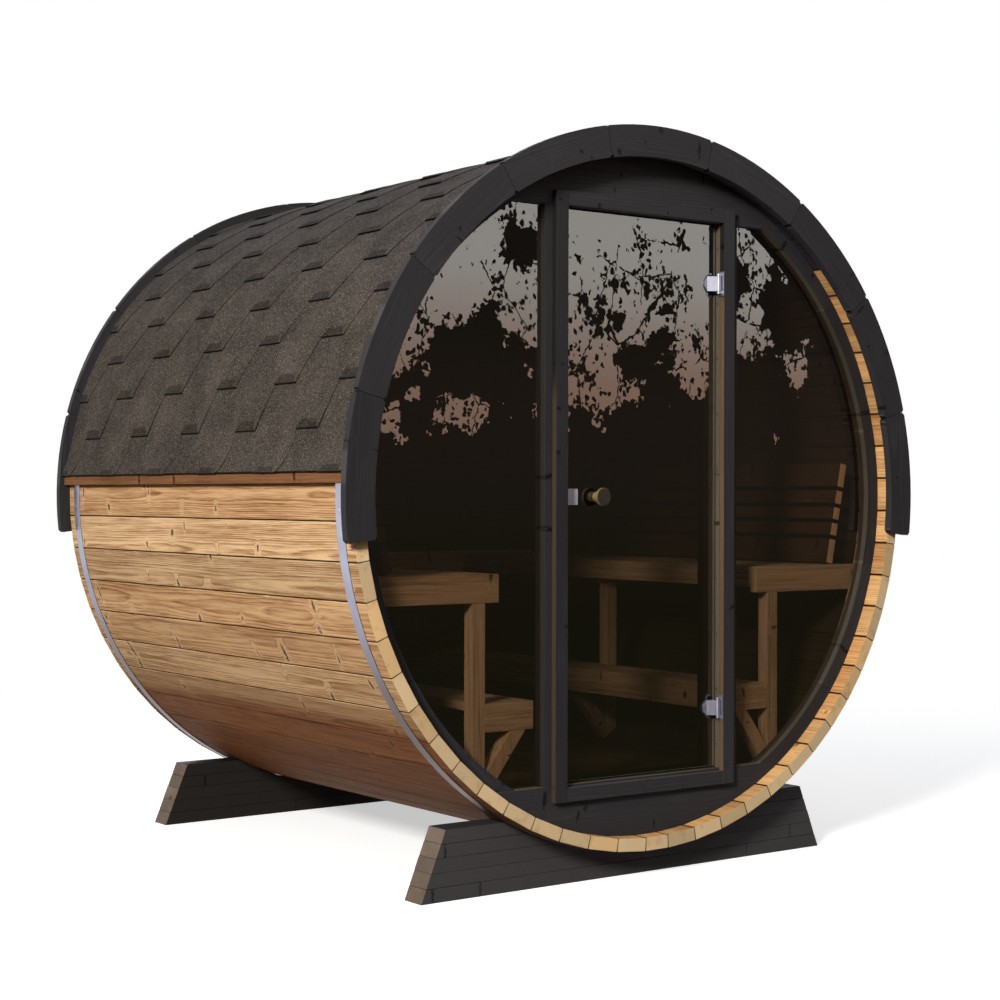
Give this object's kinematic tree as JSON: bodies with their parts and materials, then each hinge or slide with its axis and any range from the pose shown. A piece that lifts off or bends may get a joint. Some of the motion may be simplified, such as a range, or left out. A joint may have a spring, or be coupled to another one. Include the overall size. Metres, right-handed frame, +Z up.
{
  "type": "barrel sauna",
  "caption": "Timber barrel sauna on two cradles, with a shingled roof, a glazed front, a hinged glass door, and benches, footrests and a slatted floor inside.",
  "frame": {"origin": "centre of the part's footprint at ground level", "axes": "+X to the right seen from the front, +Y from the front to the back along the barrel, +Z up"},
  "size_m": [2.12, 1.8286, 2.1648],
  "materials": {
    "stave_wood": "planed, heat-treated softwood, untreated",
    "inner_wood": "planed softwood, untreated",
    "painted_wood": "near-black satin paint on sawn boards",
    "shingle_felt": "mineral granules on bitumen felt",
    "steel": "stainless, bare",
    "tinted_glass": "dark tinted safety glass"
  },
  "bodies": {
    "shell": {"staves_lower_left": "stave_wood", "staves_lower_right": "stave_wood", "staves_upper_left": "stave_wood", "staves_upper_right": "stave_wood", "eave_battens": "stave_wood", "shingles_left": "shingle_felt", "shingles_right": "shingle_felt", "front_fascia": "painted_wood", "back_fascia": "painted_wood", "steel_bands": "steel", "front_cradle": "painted_wood", "back_cradle": "painted_wood", "front_wall_head": "painted_wood", "front_wall_sill": "painted_wood", "front_wall_left_rim": "painted_wood", "front_wall_right_rim": "painted_wood", "left_door_post": "painted_wood", "right_door_post": "painted_wood", "door_casing": "painted_wood", "door_stops": "inner_wood", "left_window_glass": "tinted_glass", "right_window_glass": "tinted_glass", "back_wall": "painted_wood", "door_hinge_plates": "steel", "left_bench_frame": "inner_wood", "left_bench_slats": "inner_wood", "left_bench_posts": "inner_wood", "left_footrest": "inner_wood", "left_backrest": "inner_wood", "right_bench_frame": "inner_wood", "right_bench_slats": "inner_wood", "right_bench_posts": "inner_wood", "right_footrest": "inner_wood", "right_backrest": "inner_wood", "floor_boards": "inner_wood", "floor_bearers": "inner_wood", "back_cross_rail": "inner_wood"},
    "door": {"door_glass": "tinted_glass", "door_hinge_clamps": "steel", "door_knob_outside": "inner_wood", "door_knob_inside": "inner_wood", "door_catch_plate": "steel"}
  },
  "joints": [
    {"name": "door_hinge", "type": "hinge", "parent": "shell", "child": "door", "pos_m": [0.284, -0.85, 1.105], "axis": [0, 0, 1], "range_deg": [0, 90]}
  ]
}
